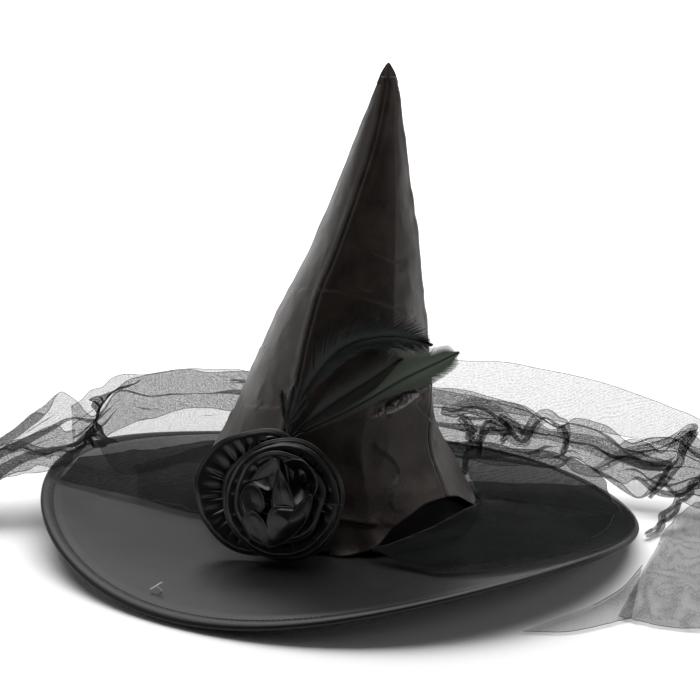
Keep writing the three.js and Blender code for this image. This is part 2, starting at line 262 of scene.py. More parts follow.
def net_material(name, cell, thread, veil, cover=0.8, color=(0.007, 0.0075, 0.008)):
    """Fine net: dark threads round cells about cell millimetres across; veil is the haze left in a cell."""
    material, tree, shader = principled(name, color, 0.9, Specular_IOR_Level=0.05)
    place = add_node(tree, "ShaderNodeTexCoord")
    cells = add_node(
        tree, "ShaderNodeTexVoronoi", feature="DISTANCE_TO_EDGE", Scale=1000.0 / cell, Randomness=0.6
    )
    tree.links.new(place.outputs["Object"], cells.inputs["Vector"])
    edge = add_node(tree, "ShaderNodeMapRange")
    edge.inputs["From Min"].default_value = thread
    edge.inputs["From Max"].default_value = thread * 2
    edge.inputs["To Min"].default_value = cover
    edge.inputs["To Max"].default_value = veil
    tree.links.new(cells.outputs["Distance"], edge.inputs["Value"])
    tree.links.new(edge.outputs["Result"], shader.inputs["Alpha"])
    return material


def feather_material(name, root, tip, roughness):
    """Glossy barbs whose colour runs from the quill's foot to the tip."""
    material, tree, shader = principled(name, root, roughness, Sheen_Weight=0.04, Sheen_Roughness=0.4)
    place = add_node(tree, "ShaderNodeUVMap", uv_map="along")
    split = add_node(tree, "ShaderNodeSeparateXYZ")
    tree.links.new(place.outputs["UV"], split.inputs["Vector"])
    ramp = add_node(tree, "ShaderNodeValToRGB")
    ramp.color_ramp.elements[0].position = 0.25
    ramp.color_ramp.elements[0].color = (*root, 1)
    ramp.color_ramp.elements[1].position = 0.75
    ramp.color_ramp.elements[1].color = (*tip, 1)
    tree.links.new(split.outputs["Y"], ramp.inputs["Fac"])
    tree.links.new(ramp.outputs["Color"], shader.inputs["Base Color"])
    return material


brim_satin = satin("brim satin", (0.006, 0.0058, 0.0063), 0.42, 0.12, 0.3, 0.28)
crown_satin = satin("crown satin", (0.014, 0.0098, 0.0078), 0.42, 0.6, 0.8, 0.38, (1, 0.94, 0.9))
ribbon_satin = satin("ribbon satin", (0.003, 0.003, 0.0035), 0.33, 0.3, 0.15)
# Near-black matte lining: partly the lining's own black, partly painted shade for the dark hollow under the
# lifted hem
lining_cloth = satin("lining cloth", (0.0025, 0.0023, 0.0023), 0.95, 0.3, 0.4)
thread = principled("thread", (0.014, 0.013, 0.014), 0.6)[0]
hem_thread = principled("net hem", (0.01, 0.011, 0.012), 0.7)[0]
net = net_material("net", 0.9, 0.1, 0.19, 0.62)
dense_net = net_material("gathered net", 0.9, 0.16, 0.4, 0.95)
sheer_net = net_material("sheer net", 0.9, 0.086, 0.15, 0.52)
doubled_net = net_material("doubled net", 0.9, 0.13, 0.45, 0.85)
nylon = principled("nylon", (0.75, 0.75, 0.73), 0.35)[0]
steel = principled("steel wire", (0.35, 0.36, 0.38), 0.35, Metallic=1.0)[0]
feather_finish = {
    "dark": feather_material("dark feather", (0.001, 0.0018, 0.002), (0.0018, 0.006, 0.006), 0.5),
    "olive": feather_material("olive feather", (0.0025, 0.003, 0.002), (0.009, 0.0095, 0.004), 0.5),
    # The silver feather darkens towards its foot: partly its own olive colour, partly painted shade where the
    # foot lies in shadow
    "silver": feather_material("silver feather", (0.007, 0.0075, 0.0035), (0.085, 0.105, 0.078), 0.5),
}

for cad_name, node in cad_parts.items():
    node.data.materials.clear()
    node.data.materials.append(steel if cad_name == "rim_wire" else lining_cloth)
    if cad_name == "tag_fastener":
        node.data.materials[0] = nylon


# ---- Brim
def rim_warp(angle):
    saddle = SADDLE[0] * np.cos(2 * (angle - SADDLE[1]))
    wave = WAVE[0] * np.cos(3 * (angle - WAVE[1]))
    return saddle + wave - TILT[0] * np.cos(angle) - TILT[1] * np.sin(angle)


RIM_Z = RIM_HALF - rim_warp(np.linspace(0, 2 * math.pi, 361)).min()


def brim_z(radius, angle):
    """Height of the middle of the brim's thickness."""
    t = (np.minimum(radius, BRIM_RADIUS) - OPENING_RADIUS) / (BRIM_RADIUS - OPENING_RADIUS)
    return lerp(OPENING_Z, RIM_Z, t) + rim_warp(angle) * t * np.abs(t)


def brim_face(name, side, replaced):
    """One of the brim's two cloths; side is 1 for the top and -1 for the underside."""
    u, v = grid(361, 60)
    angle = 2 * math.pi * u
    radius = lerp(OPENING_RADIUS, STITCH_RADIUS, v)
    flat = polar(angle, radius, 0 * u)
    ripple = 0.5 * noise(flat, 42) + 0.2 * noise(flat + 90, 14)
    dip = 0.6 * smoothstep(STITCH_RADIUS - 5, STITCH_RADIUS, radius)
    height = brim_z(radius, angle) + side * (CLOTH_TOP + ripple * (1 - v**6) - dip)
    face = surface(name, polar(angle, radius, height), brim_satin)
    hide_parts(replaced)
    return face


def rim_roll():
    """The cloth round the rim's wire, from the stitching on top, over the edge, to the stitching below."""
    u, v = grid(721, 25)
    angle = 2 * math.pi * u
    turn = math.pi * v
    across = BRIM_RADIUS - RIM_HALF + RIM_HALF * np.sin(turn) ** 0.8
    flat_part = 1 - np.sin(turn) ** 0.5
    radius = across - flat_part * (BRIM_RADIUS - RIM_HALF - STITCH_RADIUS)
    pucker = 0.08 * np.sin(angle * 190 + 3 * np.sin(angle * 17)) * flat_part
    thick = np.cos(turn) * (RIM_HALF - 1.5 * flat_part**3) + np.sign(np.cos(turn)) * pucker
    roll = surface("rim_roll", polar(angle, radius, brim_z(radius, angle) + thick), brim_satin)
    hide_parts("rim_binding")
    return roll


def rim_stitches():
    """Short threads in the groove inside the rim, on both faces."""
    count = int(2 * math.pi * STITCH_RADIUS / STITCH_PITCH)
    half = 1.05 / STITCH_RADIUS
    stitches = []
    for index, side in product(range(count), (1, -1)):
        angle = 2 * math.pi * index / count + np.linspace(-half, half, 5)
        arch = np.array([-0.35, 0.12, 0.22, 0.12, -0.35])
        height = brim_z(STITCH_RADIUS, angle) + side * (CLOTH_TOP - 0.45 + arch)
        stitches.append(tube(polar(angle, STITCH_RADIUS, height), 0.24, 5))
    made = join_grids("rim_stitches", stitches, thread, closed_v=True)
    return made


# ---- Crown
def crown_profile(z):
    """Centre x and outer radius at each height, smooth through the stations."""
    heights = CROWN_STATIONS[:, 0]
    i = np.clip(np.searchsorted(heights, z) - 1, 0, len(heights) - 2)
    step = heights[i + 1] - heights[i]
    t = np.clip((z - heights[i]) / step, 0, 1)
    found = []
    for values in (CROWN_STATIONS[:, 1], CROWN_STATIONS[:, 2]):
        slope = np.gradient(values, heights)
        a, b, da, db = values[i], values[i + 1], slope[i] * step, slope[i + 1] * step
        found.append(
            (2 * t**3 - 3 * t**2 + 1) * a
            + (t**3 - 2 * t**2 + t) * da
            + (3 * t**2 - 2 * t**3) * b
            + (t**3 - t**2) * db
        )
    return found


FLATNESS = 0.5  # how far the cloth between two ridges is from a round to a flat panel


def ridge(name, z):
    """Where a seam or fold lies at each height: its degrees and its share of the crown's radius."""
    heights, degrees, shares = RIDGES[name]
    return np.interp(z, heights, degrees), np.interp(z, heights, shares)


def seam_degrees(name, z):
    return ridge(name, z)[0]


def gore_factor(degrees, z):
    """The crown's radius over its mean: flatter than round between the ridges."""
    ridges = [ridge(name, z) for name in RIDGES]
    start = ridges[0][0]
    ridges.append((start + 360, ridges[0][1]))
    around = start + (degrees - start) % 360
    factor = np.ones_like(around)
    for (low, from_share), (high, to_share) in zip(ridges[:-1], ridges[1:]):
        inside = (around >= low) & (around <= high)
        width, before, after = (
            np.radians(np.clip(a, 0, 170)) for a in (high - low, around - low, high - around)
        )
        chord = from_share * to_share * np.sin(width)
        chord /= np.maximum(from_share * np.sin(before) + to_share * np.sin(after), 0.2)
        arc = lerp(from_share, to_share, (around - low) / (high - low))
        factor = np.where(inside, lerp(arc, chord, FLATNESS), factor)
    return factor


CREASE_TURN = 0.9  # mm over which the cloth turns at a crease


def crease(points, path, above, below, fade=6):
    """Displacement along a crease on the crown. points and path are [degrees, height]; above and below
    are (depth, width) of the cloth's rise on the crease's left and right as it is followed."""
    result = np.zeros(points.shape[:-1])
    scale = np.radians(1) * np.mean(crown_profile(np.array([p[1] for p in path]))[1])
    place = points * [scale, 1]
    line = resample(np.array(path) * [scale, 1], 24)
    nearest = np.full(result.shape, 1e9)
    for a, b in zip(line[:-1], line[1:]):
        run = b - a
        length = np.hypot(*run)
        t = np.clip(((place - a) @ run) / length**2, 0, 1)
        away = place - (a + t[..., None] * run)
        distance = np.hypot(away[..., 0], away[..., 1])
        side = np.sign(run[0] * away[..., 1] - run[1] * away[..., 0])
        turn = smoothstep(-CREASE_TURN, CREASE_TURN, side * distance)
        depth = lerp(below[0] * np.exp(-distance / below[1]), above[0] * np.exp(-distance / above[1]), turn)
        result = np.where(distance < nearest, depth, result)
        nearest = np.minimum(nearest, distance)
    ends = np.minimum(*(np.hypot(*np.moveaxis(place - line[k], -1, 0)) for k in (0, -1)))
    return result * smoothstep(0, fade, ends)


CREASES = [
    # path, (rise above, width), (rise below, width)
    ([(-60, 99), (-50, 100.5), (-38, 103.5), (-27, 105)], (-8, 6), (2.2, 6)),
    ([(-36, 101), (-28, 92), (-18, 77)], (-2.4, 3.5), (1.2, 7)),
    ([(-68, 80), (-58, 72), (-55, 63), (-60, 56), (-64, 47), (-62, 40)], (0.9, 5), (0.1, 4)),
    ([(-90, 38), (-80, 36), (-70, 35)], (1.8, 4), (-1.2, 4)),
    ([(-160, 170), (-140, 174), (-110, 175), (-70, 168), (-30, 156)], (-0.3, 9), (0.35, 8)),
    ([(-150, 95), (-128, 101), (-124, 110)], (-0.8, 7), (0.4, 8)),
    ([(-104, 150), (-88, 154), (-72, 151)], (-0.7, 4), (0.4, 6)),
    ([(-92, 202), (-70, 196), (-50, 190)], (-0.6, 4), (0.4, 5)),
    ([(-100, 182), (-84, 176), (-70, 178)], (-0.5, 4), (0.4, 4)),
    ([(20, 95), (35, 103), (60, 99)], (-1.6, 8), (1.0, 10)),
    ([(85, 73), (115, 83), (150, 77)], (-1.8, 9), (1.0, 10)),
    ([(165, 123), (190, 131), (215, 121)], (-0.8, 8), (0.4, 8)),
    ([(60, 153), (100, 163), (140, 153)], (-1.2, 8), (0.6, 10)),
]
# degrees, height, size, depth
DIMPLES = [(-46, 112, 10, 2.5), (-80, 152, 4, 1.0), (-70, 160, 3, 0.6), (100, 113, 14, 2)]
HEM = (  # degrees, height
    [-95, -86, -79, -73, -64, -50, -38, -28, -17, -7, 2],
    [16.8, 17.4, 20, 25, 35, 44.5, 45.5, 41, 31, 22, 16.8],
)
ARCH = {"middle": -41, "half": 40, "bulge": 9}
FLAPS = [(-88, 8, 7), (-76, 6, 5)]  # degrees, width in degrees, flare: where the hem turns outward


def arch_window(degrees):
    """From 0 to 1 across the stretch of hem that is lifted off the brim."""
    return np.cos(np.clip((degrees - ARCH["middle"]) / ARCH["half"], -1, 1) * math.pi / 2)


def hem_height(degrees):
    smooth = [np.interp(degrees + shift, *HEM) for shift in (-3, -1.5, 0, 1.5, 3)]
    return np.mean(smooth, axis=0)


def crown_surface(degrees, z, inset=0, arch=1.0):
    """Points of the crown's cloth; inset is the depth inside its outer face."""
    around = (degrees + 180) % 360 - 180
    centre, radius = crown_profile(z)
    place = np.stack([around, z], axis=-1)
    solid = polar(np.radians(degrees), radius, z)
    fade = smoothstep(312, 266, z)
    seams = np.stack([seam_degrees(name, z) for name in GORES])
    gap = np.abs((degrees - seams + 180) % 360 - 180).min(axis=0)
    seam = np.radians(gap) * radius
    rise = -1.2 * np.exp(-((seam / 1.1) ** 2)) + 0.35 * np.exp(-(((seam - 3.6) / 2.4) ** 2))
    rise += 0.5 * np.exp(-seam / 8) * noise(solid * [1, 1, 2.4], 15) * fade
    rise += (0.9 * noise(solid, 40) + 0.3 * (0.5 - np.abs(noise(solid + 70, 19))) * 2) * fade
    rise += 0.12 * noise(solid + 31, 7) * fade
    for path, above, below in CREASES:
        rise += crease(place, path, above, below)
    for at, height, size, depth in DIMPLES:
        away = np.hypot(np.radians(around - at) * radius, z - height)
        rise -= depth * np.exp(-((away / size) ** 2))
    above_hem = np.maximum(z - hem_height(around), 0)
    rise += arch * ARCH["bulge"] * arch_window(around) ** 0.8 * np.exp(-above_hem / 22)
    for at, width, flare in FLAPS:
        rise += arch * flare * np.exp(-(((around - at) / width) ** 2) - above_hem / 7)
    across = np.maximum(radius * gore_factor(around, z) + rise - inset, 0.5)
    return polar(np.radians(degrees), across, z) + np.stack([centre, 0 * z, 0 * z], axis=-1)


def gore(side):
    u, v = grid(110, 320)
    foot = seam_degrees(side, 0), seam_degrees(GORES[side], 0)
    low, high = foot[0], foot[0] + (foot[1] - foot[0]) % 360
    around = (lerp(low, high, u) + 180) % 360 - 180
    z = lerp(hem_height(around), GORE_TOP, v)
    start, end = seam_degrees(side, z), seam_degrees(GORES[side], z)
    degrees = lerp(start, start + (end - start) % 360, u)
    piece = surface(f"gore_{side}", crown_surface(degrees, z), crown_satin, thickness=0.8)
    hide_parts(f"gore_{side}_lower", f"gore_{side}_upper")
    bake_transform(piece)


def crown_lining():
    u, v = grid(181, 120)
    z = lerp(17.4, 290, v)
    points = crown_surface(360 * u - 180, z, inset=1.5, arch=0)
    piece = surface("crown_lining", points, lining_cloth, thickness=1.2)
    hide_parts("crown_stiffener_lower", "crown_stiffener_upper")
    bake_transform(piece)


def peak_tip():
    """The turned point where the gores' seam allowances fold over each other."""
    u, v = grid(25, 14)
    z = lerp(303, TIP_Z, v)
    centre, radius = crown_profile(z)
    lump = 1 + 0.18 * np.sin(4 * 2 * math.pi * u + v * 3)
    points = polar(2 * math.pi * u, np.maximum(radius - 0.6, 0.3) * lump * np.sqrt(1.02 - v**5), z)
    points[..., 0] += centre
    piece = surface("peak_point", points, crown_satin)
    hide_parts("peak_tip")
    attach(piece, "peak")
    return piece


def sweatband():
    u, v = grid(721, 14)
    degrees = 360 * u - 180
    z = lerp(12.5, 42, v)
    gathers = 0.25 * np.sin(np.radians(degrees) * 75)
    points = crown_surface(degrees, np.maximum(z, 16.8), inset=4.6 + gathers, arch=0)
    points[..., 2] = z
    piece = surface("sweatband_ribbon", points, ribbon_satin, thickness=0.8)
    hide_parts("sweatband")
    return piece


# ---- Rosette, built flat in its own frame and turned to face out
def rosette_matrix():
    right = Vector((0, 0, 1)).cross(ROSETTE_FACING).normalized()
    up = ROSETTE_FACING.cross(right)
    return np.array([list(right), list(up), list(ROSETTE_FACING)])


def on_rosette(points):
    return np.asarray(points) @ rosette_matrix() + np.array(ROSETTE_BASE)


def ruffle(name, centre, radii, heights, pleats, seed, depth=0.8, wander=0.5, curl=1.4):
    """A ribbon gathered at its inner edge, with a rolled hem at its free edge."""
    u, v = grid(720, 30)
    angle = 2 * math.pi * u
    spot = polar(angle, 10.0 + 0 * u, seed * 7.0)
    gather = np.sin(angle * pleats + 2.2 * noise(spot, 2.6))
    fold = np.abs(gather) ** 0.7 * np.sign(gather) * (0.55 + 0.45 * noise(spot + 60, 3.0))
    lift = heights[1] * (1 - (1 - v) ** 1.9)
    lift = lift + depth * fold * np.sin(math.pi * np.minimum(v * 1.15, 1)) ** 0.8
    lift += wander * v**2 * noise(spot + 40, 5)
    lift -= curl * smoothstep(0.86, 1.0, v)
    radius = lerp(radii[0], radii[1], v) + wander * v * noise(spot * 1.7 + 13, 9)
    points = polar(angle, radius, heights[0] + lift)
    points[..., :2] += centre
    ribbon = surface(name, on_rosette(points), ribbon_satin, thickness=0.5)
    hem = tube(on_rosette(points[:, -1]), 0.6, 8)
    rolled = join_grids(f"{name}_hem", [hem], ribbon_satin, closed_v=True)
    for piece in (ribbon, rolled):
        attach(piece, "brim")
    return ribbon


def petal(index, outline, centre_height, rim, cup):
    """A ribbon petal stretched over an outline in the rosette's plane, hollowed in the middle.

    outline holds [x, y, height] points round its free edge, and rim is the share of the edge, from the
    start, that is rolled."""
    u, v = grid(97, 22)
    edge = resample([*outline, outline[0]], 97)
    middle = np.mean(np.array(outline, float), axis=0)
    middle[2] = centre_height
    points = lerp(middle, edge[:, None], v[..., None])
    puff = cup * (1 - v**2) + 0.5 * noise(np.dstack([points[..., 0], points[..., 1], 0 * v + index * 9]), 7)
    points[..., 2] += puff * np.minimum(1, 4 * (1 - v))
    piece = surface(f"rose_petal_{index}", on_rosette(points), ribbon_satin, thickness=0.4)
    rolled = tube(on_rosette(edge[: int(97 * rim)]), 0.45, 8)
    hem = join_grids(f"rose_petal_{index}_edge", [rolled], ribbon_satin, closed_v=True)
    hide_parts(f"petal_{index}")
    for made in (piece, hem):
        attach(made, "brim")


PETALS = [
    # [x, y, height] round the free edge, height in the middle, share of the edge rolled, puff
    ([(-2, 20, 29), (4, 12, 31), (10, -2, 31), (4, -6, 28), (-4, -5, 27), (-4, 8, 28)], 29, 1.0, 0.6),
    (
        [(1, 24, 27), (8, 26, 30), (16, 24, 31), (23, 13, 30), (20, 2, 28), (10, -3, 27), (4, 10, 22)],
        19, 0.7, -2.0,
    ),
    (
        [(11, -3, 31), (20, 5, 30), (19, -8, 29), (12, -19, 27), (2, -27, 25), (-8, -28, 24), (-5, -6, 29)],
        30, 0.75, 2.4,
    ),
    (
        [(-9, -29, 24), (-18, -24, 24), (-23, -14, 25), (-18, -8, 27), (-10, -12, 28), (-5, -22, 26)],
        25, 0.6, 1.2,
    ),
    ([(-22, -12, 25), (-25, -2, 25), (-21, 8, 26), (-13, 6, 28), (-9, -4, 27), (-14, -10, 26)], 25, 0.6, 1.0),
    ([(-20, 10, 25), (-13, 20, 26), (-4, 25, 27), (-1, 16, 27), (-6, 6, 28), (-13, 7, 27)], 24, 0.6, -0.8),
]


def rosette():
    back = ruffle("ruffle_back", (-18.5, 2.5), (17, 40), (3, 6), 24, 1, 1.0, 2.6)
    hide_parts("ribbon_fan_left")
    loop = ruffle("ruffle_loop", (-13, 24), (5, 15), (2, 7), 13, 5, 0.9, 1.5)
    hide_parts("ribbon_loop_top")
    outer = ruffle("ruffle_rim", (0, 0), (20, 38), (8, 8), 24, 2, 0.8, 1.5)
    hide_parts("ruffle_outer")
    ruffle("ruffle_second", (-0.4, -0.4), (17, 35.6), (10, 8.5), 19, 3, 1.1, 1.1)
    middle = ruffle("ruffle_coil", (-1.6, 0.6), (10, 28.5), (13, 10), 15, 4, 1.3, 1.6)
    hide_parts("ruffle_middle")
    for index, (outline, centre_height, rim, cup) in enumerate(PETALS, 1):
        petal(index, outline, centre_height, rim, cup)
    u, v = grid(160, 16)
    angle = u * 2 * math.pi * 2.2
    points = polar(angle, 1.5 + 6 * u + 0.8 * v, 17 + 9 * v - 3 * u * v)
    points[..., :2] += (-9, -5)
    bud = surface("rose_bud", on_rosette(points), ribbon_satin, thickness=0.5)
    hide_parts("rosette_bud")
    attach(bud, "brim")


# ---- Feathers
FEATHERS = {
    # points, width, share of the length with short barbs, unevenness of the barbs
    "dark": (
        [(-33, -70.4, 89.5), (-21, -70, 122), (0, -69, 147), (29, -66, 154), (57, -62, 147)],
        25, 0.1, 0.3,
    ),
    "olive": ([(-31, -73.5, 89.5), (-8, -74, 110), (14, -73, 125), (38, -71, 141)], 24, 0.06, 0.14),
    "silver": ([(-29, -76, 89.5), (8, -77.5, 110), (38, -76.5, 129), (73, -74, 146.5)], 25, 0.42, 0.04),
}
BARBS = 190
BARB_POINTS = 7
HACKLE_FOOT = np.array([-35, -78.5, 97.0])
FACING = np.array([0, -0.95, 0.3])


def feather(name, points, width, bare, uneven, replaced, barbs=BARBS, finish=None):
    """A quill with overlapping barbs on both sides; bare is the share of the quill with only short ones."""
    line = resample(points, 60)
    length = np.linalg.norm(np.diff(line, axis=0), axis=1).sum()
    tangent = np.gradient(line, axis=0)
    tangent /= np.linalg.norm(tangent, axis=1)[:, None]
    across = np.cross(tangent, FACING)
    across /= np.linalg.norm(across, axis=1)[:, None]
    finish = finish or name
    s = np.linspace(0, 1, BARB_POINTS)[:, None]
    rows = []
    shades = []
    for index, side in product(range(barbs), (1, -1)):
        t = 0.04 + 0.95 * index / barbs
        at = t * (len(line) - 1)
        i = min(int(at), len(line) - 2)
        root = lerp(line[i], line[i + 1], at - i)
        reach = width / 2 * math.sin(math.pi * min(0.98, t * 0.92 + 0.05)) ** 0.7
        reach *= 1 - 0.75 * float(smoothstep(0.86, 1.0, t))
        reach *= lerp(0.3, 1.0, float(smoothstep(bare, bare + 0.22, t)))
        reach *= rng.uniform(1 - uneven, 1 + 0.3 * uneven)
        lean = 1.5 + uneven * rng.uniform(-0.8, 0.8)
        barb = root + reach * (side * across[i] * s + tangent[i] * lean * s**1.3)
        lift = 1.3 * np.sin(math.pi * s * 0.75) + uneven * rng.uniform(-1.5, 1.5) * s
        barb = barb + FACING * (lift + 0.09 * (index % 2))
        spread = tangent[i] * (1.0 * length / barbs) * (1.25 - s)
        rows.append(np.stack([barb - spread, barb + spread], axis=0))
        shades.append(t)
    vanes = join_grids(f"{name}_barbs", rows, feather_finish[finish])
    layer = vanes.data.uv_layers.new(name="along")
    per_vertex = np.repeat(shades, 2 * BARB_POINTS)
    corners = np.array([loop.vertex_index for loop in vanes.data.loops])
    layer.data.foreach_set("uv", np.stack([0 * per_vertex[corners], per_vertex[corners]], axis=1).ravel())
    shaft = tube(line + FACING * 0.5, np.linspace(0.6, 0.12, 60), 6)
    quill = join_grids(f"{name}_shaft", [shaft], feather_finish[finish], closed_v=True)
    for piece, node in zip((vanes, quill), replaced):
        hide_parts(node)
    for piece in (vanes, quill):
        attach(piece, "feathers")


def feathers():
    for name, (points, width, bare, uneven) in FEATHERS.items():
        feather(name, points, width, bare, uneven, (f"feather_{name}_vane", f"feather_{name}_quill"))
    for index, lean in enumerate((-6, 2, 10)):
        foot = HACKLE_FOOT + [0, -1.8 * index, 0]
        tip = foot + [3 + lean, 0, 30 - abs(lean)]
        points = [foot, lerp(foot, tip, 0.5) + [0, -1, 0], tip]
        feather(f"tuft_{index + 1}", points, 6, 0.0, 0.4, (f"hackle_{index + 1}",), barbs=40, finish="dark")


# ---- Net veil
def clear_of_hat(points, lift):
    """Keeps points above the brim and the floor, easing them up where they come close."""
    angle = np.arctan2(points[..., 1], points[..., 0])
    radius = np.hypot(points[..., 0], points[..., 1])
    under = np.where(radius < BRIM_RADIUS + 3, brim_z(radius, angle) + RIM_HALF + lift, 0.5 + lift)
    gap = points[..., 2] - under
    points[..., 2] = under + np.where(gap > 3, gap, 3 * np.exp(np.minimum(gap - 3, 0) / 3))
    return points


def drape(
    name, top, bottom, folds, amplitude, seed, material=None, pinches=(), crumple=1.0, lift=0.3, overlap=1.0
):
    """A sheet of net between two edges, each a list of points, with soft folds along its length.

    Each pinch gathers the sheet's width together at a place along it: (place, place across, share, size)."""
    nu, nv = 280, 120
    first, last = resample(top, nu), resample(bottom, nu)
    u, v = grid(nu, nv)
    spread = v.copy()
    for place, across_at, share, size in pinches:
        spread += (across_at - spread) * share * np.exp(-(((u - place) / size) ** 2))
    points = lerp(first[:, None], last[:, None], spread[..., None])
    across = last - first
    across /= np.linalg.norm(across, axis=1)[:, None]
    along = np.gradient(lerp(first, last, 0.5), axis=0)
    along /= np.linalg.norm(along, axis=1)[:, None]
    normal = np.cross(along, across)
    spot = np.stack([u * 4.0, v * 1.2, 0 * u + seed * 5.3], axis=-1)
    phase = 2 * math.pi * folds * v + 4.5 * noise(spot, 1.0) + 1.5 * noise(spot * 2.3 + 9, 1.0)
    size = amplitude * (0.55 + 0.45 * noise(spot * 1.7 + 30, 1.0))
    rumple = crumple * (2.4 * noise(points + seed * 40, 18) + 0.9 * noise(points + seed * 71, 8))
    points = points + normal[:, None] * (size * np.cos(phase) + rumple)[..., None]
    points = points + across[:, None] * (size * overlap * np.sin(2 * phase))[..., None]
    points = clear_of_hat(points, lift)
    piece = surface(name, points, material or net)
    edges = [tube(points[:, k], 0.2, 5) for k in (0, -1)]
    hems = join_grids(f"{name}_hems", edges, hem_thread, closed_v=True)
    for made in (piece, hems):
        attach(made, "brim")
    return piece


def strand(name, line, width, seed):
    """Net bunched into a narrow pleated band along a line of points, drawn together at both ends."""
    path = resample(line, 160)
    u, v = grid(160, 40)
    spot = np.stack([u[:, 0] * 7, 0 * u[:, 0], 0 * u[:, 0] + seed * 3.1], axis=-1)
    wobble = np.stack([noise(spot + k, 0.8) for k in (11, 23, 37)], axis=-1)
    path = path + wobble * width * 0.3
    tangent = np.gradient(path, axis=0)
    tangent /= np.linalg.norm(tangent, axis=1)[:, None]
    level = np.cross(tangent, (0, 0, 1.0)) + [0, 0, 1e-6]
    level /= np.linalg.norm(level, axis=1)[:, None]
    upright = np.cross(level, tangent)
    full = width * (0.35 + 0.65 * np.sin(math.pi * u) ** 0.5) * (1 + 0.35 * noise(spot, 1.0))[:, None]
    phase = 2 * math.pi * 1.7 * v + 2.4 * noise(np.stack([u * 8, v * 1.5, 0 * u + seed], axis=-1), 1.0)
    rise = full * (v - 0.5 + 0.12 * np.sin(2 * phase))
    points = path[:, None] + rise[..., None] * upright[:, None]
    points = points + (0.3 * full * np.cos(phase))[..., None] * level[:, None]
    points = clear_of_hat(points, 0.6)
    piece = surface(name, points, net)
    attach(piece, "brim")


def veil_left():
    left = drape(
        "veil_tail_left",
        [
            (20, 106, 66), (-40, 112, 76), (-95, 100, 82), (-150, 80, 80), (-196, 62, 71),
            (-234, 44, 48), (-262, 36, 22),
        ],
        [
            (10, 98, 24), (-60, 84, 26), (-108, 52, 27), (-150, 16, 28), (-190, 8, 37), (-226, -6, 35),
            (-260, -20, 10),
        ],
        2.4, 5.0, 1, pinches=[(0.58, 0.5, 0.7, 0.045)], crumple=1.0, overlap=1.2,
    )
    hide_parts("veil_left")
    drape(
        "veil_left_upper",
        [(0, 116, 66), (-60, 122, 73), (-110, 112, 79), (-158, 88, 78), (-190, 70, 64)],
        [(0, 112, 44), (-60, 116, 50), (-110, 100, 52), (-150, 72, 50), (-186, 48, 40)],
        1.4, 3.0, 6, crumple=0.8, overlap=1.2,
    )
    drape(
        "veil_left_bow",
        [(-142, 84, 78), (-158, 76, 74), (-171, 64, 61), (-168, 56, 52), (-156, 48, 42)],
        [(-178, 72, 66), (-172, 66, 62), (-170, 60, 57), (-180, 50, 48), (-190, 40, 42)],
        2.4, 2.5, 11, material=doubled_net, crumple=1.4,
    )
    drape(
        "veil_left_blob",
        [(-185, 50, 54), (-205, 48, 50), (-222, 40, 46), (-246, 30, 34)],
        [(-182, 14, 38), (-204, 4, 38), (-224, -8, 36), (-250, -16, 24)],
        0.8, 3.0, 12, crumple=1.2,
    )
    drape(
        "veil_left_panel",
        [(-60, 104, 32), (-100, 90, 32), (-145, 62, 33), (-180, 30, 38)],
        [(-84, -24, 19), (-96, -28, 19), (-134, -7, 21), (-189, 0, 31)],
        1.2, 1.0, 7, material=doubled_net, crumple=0.4,
    )
    drape(
        "veil_left_inner",
        [(-62, 100, 34), (-96, 80, 32), (-130, 52, 30), (-142, 40, 30)],
        [(-84, -20, 22), (-96, -26, 21), (-124, -12, 22), (-136, -6, 22)],
        0.8, 1.0, 13, crumple=0.4,
    )
    line = [(-236, 30, 43), (-221, 34, 44), (-204, 36, 40), (-185, 38, 41), (-172, 50, 50)]
    strand("veil_left_line", line, 8, 2)


RIGHT_STRANDS = {  # points, width, seed
    "veil_right_mass": (
        [
            (72, 92, 60), (91, 92, 60), (112, 88, 54), (126, 80, 40), (145, 88, 52), (158, 84, 50),
            (156, 74, 34),
        ],
        12, 3,
    ),
    "veil_right_rope": (
        [
            (112, 90, 56), (140, 84, 44), (170, 76, 40), (190, 72, 36), (211, 70, 32), (232, 54, 34),
        ],
        10, 4,
    ),
    "veil_right_loop": (
        [
            (176, 66, 24), (205, 66, 36), (236, 60, 50), (244, 56, 56), (236, 50, 40), (230, 48, 30),
            (214, 34, 14),
        ],
        9, 5,
    ),
    "veil_right_fall": (
        [
            (247, 30, 34), (238, 22, 25), (226, 12, 14), (214, 2, 4), (204, -9, 3),
        ],
        8, 6,
    ),
    "veil_right_dark": (
        [
            (85, 86, 54), (92, 80, 42), (88, 72, 26), (84, 60, 20),
        ],
        9, 7,
    ),
    "veil_right_hook": (
        [
            (112, 82, 38), (118, 84, 46), (110, 86, 50), (100, 84, 44), (98, 76, 28),
        ],
        8, 8,
    ),
}


